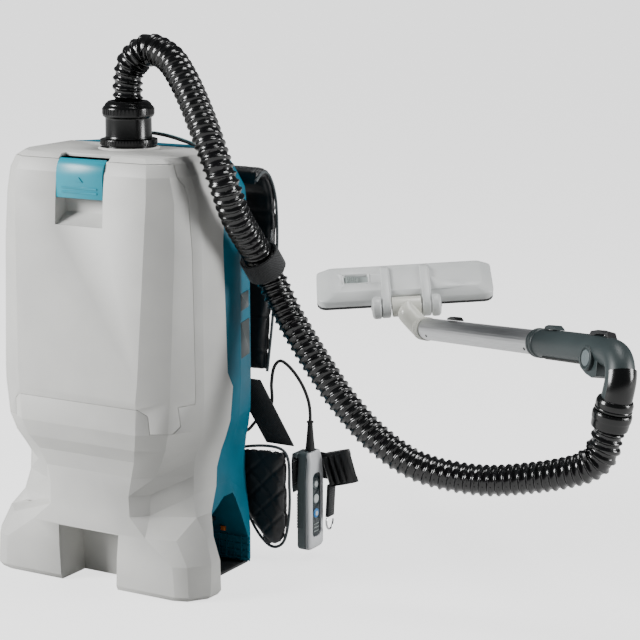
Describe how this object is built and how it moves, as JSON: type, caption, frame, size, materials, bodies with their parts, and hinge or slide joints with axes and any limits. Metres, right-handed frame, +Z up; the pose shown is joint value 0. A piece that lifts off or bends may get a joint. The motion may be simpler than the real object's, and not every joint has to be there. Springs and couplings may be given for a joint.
{
  "type": "backpack vacuum cleaner",
  "caption": "Backpack vacuum cleaner with hinged front cover, padded harness, wired remote control, ribbed hose, bent handle, pipe and tilting floor nozzle.",
  "frame": {"origin": "middle of the base plate's underside, on the surface that the housing stands on", "axes": "+Z up, -Y out of the front cover, +Y towards the wearer's back, +X to the right seen from the front"},
  "size_m": [0.9095, 0.7492, 0.6961],
  "materials": {
    "grey_shell": "satin",
    "teal_shell": "satin",
    "latch": "satin",
    "black_part": "satin",
    "hose": "gloss",
    "rubber": "matte",
    "handle": "satin",
    "pipe": "satin",
    "steel": "satin",
    "nozzle": "satin",
    "neck": "gloss",
    "switch": "matte",
    "wheel": "satin",
    "remote": "satin",
    "keypad": "satin",
    "key": "satin",
    "key_blue": "satin",
    "webbing": "matte",
    "padding": "matte",
    "filter": "matte",
    "bag": "matte",
    "board": "satin"
  },
  "bodies": {
    "housing": {"front_housing": "grey_shell", "rear_housing": "teal_shell", "cover_seal": "rubber", "base_plate": "black_part", "battery_dock_right": "black_part", "battery_dock_left": "black_part", "filter_frame": "grey_shell", "hepa_filter": "filter", "motor_housing": "black_part", "motor": "pipe", "control_board": "board", "dust_bag": "bag", "bag_collar": "filter", "inlet_duct": "black_part", "exhaust_grille": "black_part", "inlet_socket": "black_part", "hose": "hose", "hose_holder": "webbing", "back_plate": "black_part", "back_pad": "padding", "shoulder_strap_right": "padding", "shoulder_strap_left": "padding", "lower_strap_right": "webbing", "lower_strap_left": "webbing", "waist_pad_right": "padding", "waist_pad_left": "padding", "carry_strap": "webbing", "belt_right": "webbing", "belt_left": "webbing", "buckle_socket": "black_part", "buckle_tongue": "black_part", "d_ring": "steel", "strap_tail": "webbing", "remote_case": "remote", "remote_keypad": "keypad", "belt_clip": "remote", "cable_relief": "rubber", "control_cable": "rubber", "cable_gland": "rubber", "hose_end_cuff": "black_part"},
    "cover": {"front_cover": "grey_shell", "latch_pin": "steel"},
    "latch": {"cover_latch": "latch"},
    "cuff": {"hose_cuff": "black_part"},
    "impeller": {"impeller": "pipe"},
    "wand": {"handle": "handle", "pipe": "pipe"},
    "pipe_lock": {"pipe_lock": "handle"},
    "pipe_catch": {"pipe_catch": "black_part"},
    "suction_ring": {"suction_ring": "black_part"},
    "neck": {"neck": "neck"},
    "nozzle": {"nozzle_body": "nozzle", "sole_plate": "black_part", "axle": "steel"},
    "wheel_left": {"wheel_left": "wheel"},
    "wheel_right": {"wheel_right": "wheel"},
    "floor_selector": {"floor_selector": "switch"},
    "power_button": {"power_button": "key"},
    "mode_button": {"mode_button": "key"},
    "turbo_button": {"turbo_button": "key_blue"}
  },
  "joints": [
    {"name": "cover_hinge", "type": "hinge", "parent": "housing", "child": "cover", "pos_m": [0, -0.1225, 0.245], "axis": [1, 0, 0], "range_deg": [0, 95]},
    {"name": "latch_pivot", "type": "hinge", "parent": "cover", "child": "latch", "pos_m": [0, -0.095, 0.536], "axis": [-1, 0, 0], "range_deg": [0, 28], "stiffness_Nm_per_rad": 0.15, "springref_deg": -17.19},
    {"name": "cuff_swivel", "type": "hinge", "parent": "housing", "child": "cuff", "pos_m": [0, 0, 0.58], "axis": [0, 0, 1], "continuous": true},
    {"name": "impeller_spin", "type": "hinge", "parent": "housing", "child": "impeller", "pos_m": [0, 0.01, 0.18], "axis": [0, 0, 1], "continuous": true},
    {"name": "handle_swivel", "type": "hinge", "parent": "housing", "child": "wand", "pos_m": [0.641, 0.06, 0.27], "axis": [0.2, 0, 0.9798], "range_deg": [-90, 12]},
    {"name": "suction_ring_turn", "type": "hinge", "parent": "wand", "child": "suction_ring", "pos_m": [0.641, 0.06, 0.27], "axis": [0.2, 0, 0.9798], "range_deg": [0, 70]},
    {"name": "pipe_lock_slide", "type": "slide", "parent": "wand", "child": "pipe_lock", "axis": [0.7572, -0.6378, 0.1409], "range_m": [0, 0.004], "stiffness_N_per_m": 300, "springref_m": -0.001},
    {"name": "pipe_catch_slide", "type": "slide", "parent": "wand", "child": "pipe_catch", "axis": [0.7572, -0.6378, 0.1409], "range_m": [0, 0.004], "stiffness_N_per_m": 300, "springref_m": -0.001},
    {"name": "neck_swivel", "type": "hinge", "parent": "wand", "child": "neck", "pos_m": [0.19947, 0.45467, 0.2559], "axis": [0.7572, -0.6378, 0.1409], "range_deg": [-90, 90]},
    {"name": "neck_tilt", "type": "hinge", "parent": "neck", "child": "nozzle", "pos_m": [0.15, 0.482, 0.28], "axis": [0.8646, 0.4992, 0.0579], "range_deg": [-30, 45]},
    {"name": "wheel_left_spin", "type": "hinge", "parent": "nozzle", "child": "wheel_left", "pos_m": [0.15, 0.482, 0.28], "axis": [0.8646, 0.4992, 0.0579], "continuous": true},
    {"name": "wheel_right_spin", "type": "hinge", "parent": "nozzle", "child": "wheel_right", "pos_m": [0.15, 0.482, 0.28], "axis": [0.8646, 0.4992, 0.0579], "continuous": true},
    {"name": "floor_selector_slide", "type": "slide", "parent": "nozzle", "child": "floor_selector", "axis": [0.8646, 0.4992, 0.0579], "range_m": [0, 0.014]},
    {"name": "power_button_press", "type": "slide", "parent": "housing", "child": "power_button", "axis": [-1, 0, 0], "range_m": [0, 0.0009], "stiffness_N_per_m": 300, "springref_m": -0.001},
    {"name": "mode_button_press", "type": "slide", "parent": "housing", "child": "mode_button", "axis": [-1, 0, 0], "range_m": [0, 0.0009], "stiffness_N_per_m": 300, "springref_m": -0.001},
    {"name": "turbo_button_press", "type": "slide", "parent": "housing", "child": "turbo_button", "axis": [-1, 0, 0], "range_m": [0, 0.0009], "stiffness_N_per_m": 300, "springref_m": -0.001}
  ]
}
